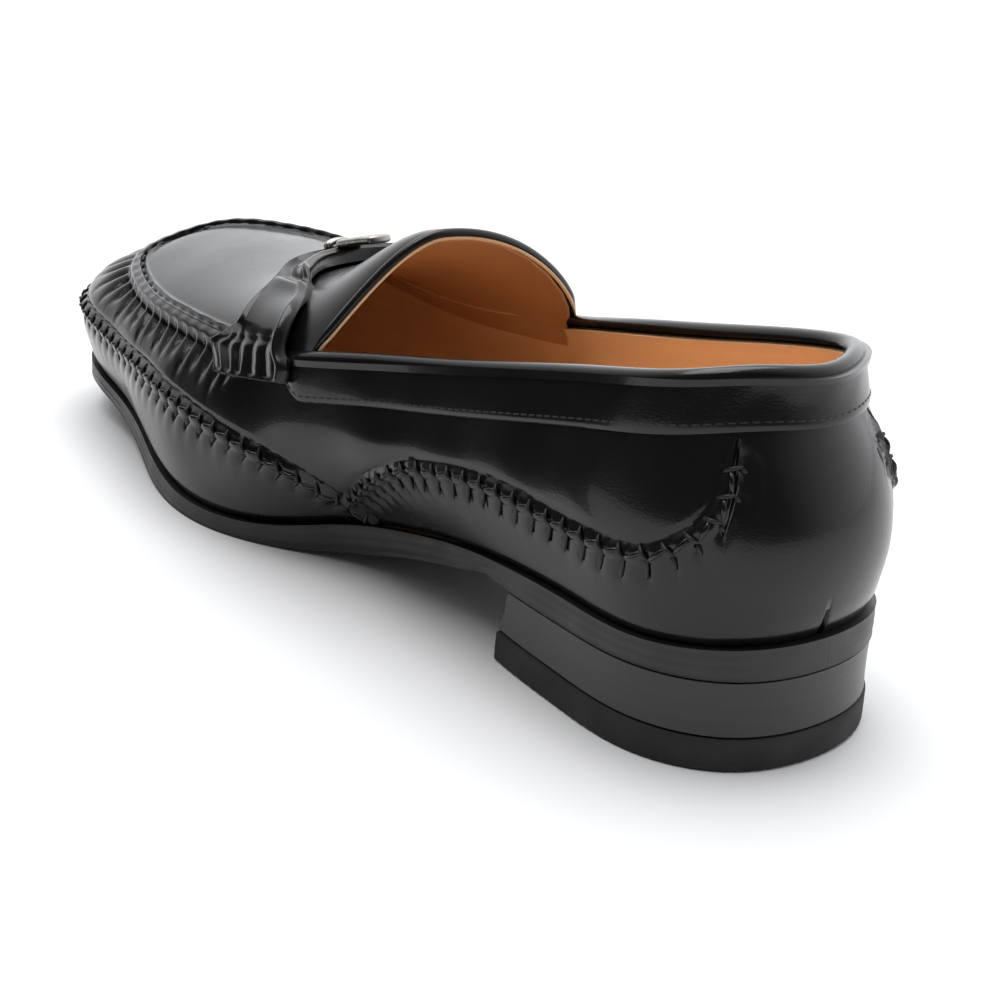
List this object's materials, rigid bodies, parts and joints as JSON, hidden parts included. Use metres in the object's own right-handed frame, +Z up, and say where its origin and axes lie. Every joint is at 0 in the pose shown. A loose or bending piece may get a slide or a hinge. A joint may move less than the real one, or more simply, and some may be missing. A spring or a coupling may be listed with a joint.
{
  "type": "bit loafer",
  "caption": "Right-foot slip-on dress loafer with apron front, gathered strap under a metal bit, padded collar, stacked heel and treaded sole",
  "frame": {"origin": "on the floor, under the middle of the bounding box", "axes": "+Y towards the toe, +X towards the outer side of the right foot, +Z up"},
  "size_m": [0.1024, 0.3028, 0.0915],
  "materials": {
    "polished_leather": "polished to a soft gloss",
    "collar_leather": "polished, padded",
    "strap_leather": "polished, creased",
    "dark_metal": "dark plated",
    "sock_leather": "smooth natural tan",
    "sole_rubber": "satin",
    "heel_stack": "satin, faint layer lines",
    "lift_rubber": "matte"
  },
  "bodies": {
    "root": {"upper": "polished_leather", "collar_band": "collar_leather", "strap": "strap_leather", "bit_plate": "dark_metal", "bit_ring": "dark_metal", "insole": "sock_leather", "outsole": "sole_rubber", "heel_block": "heel_stack", "top_lift": "lift_rubber"}
  },
  "joints": []
}
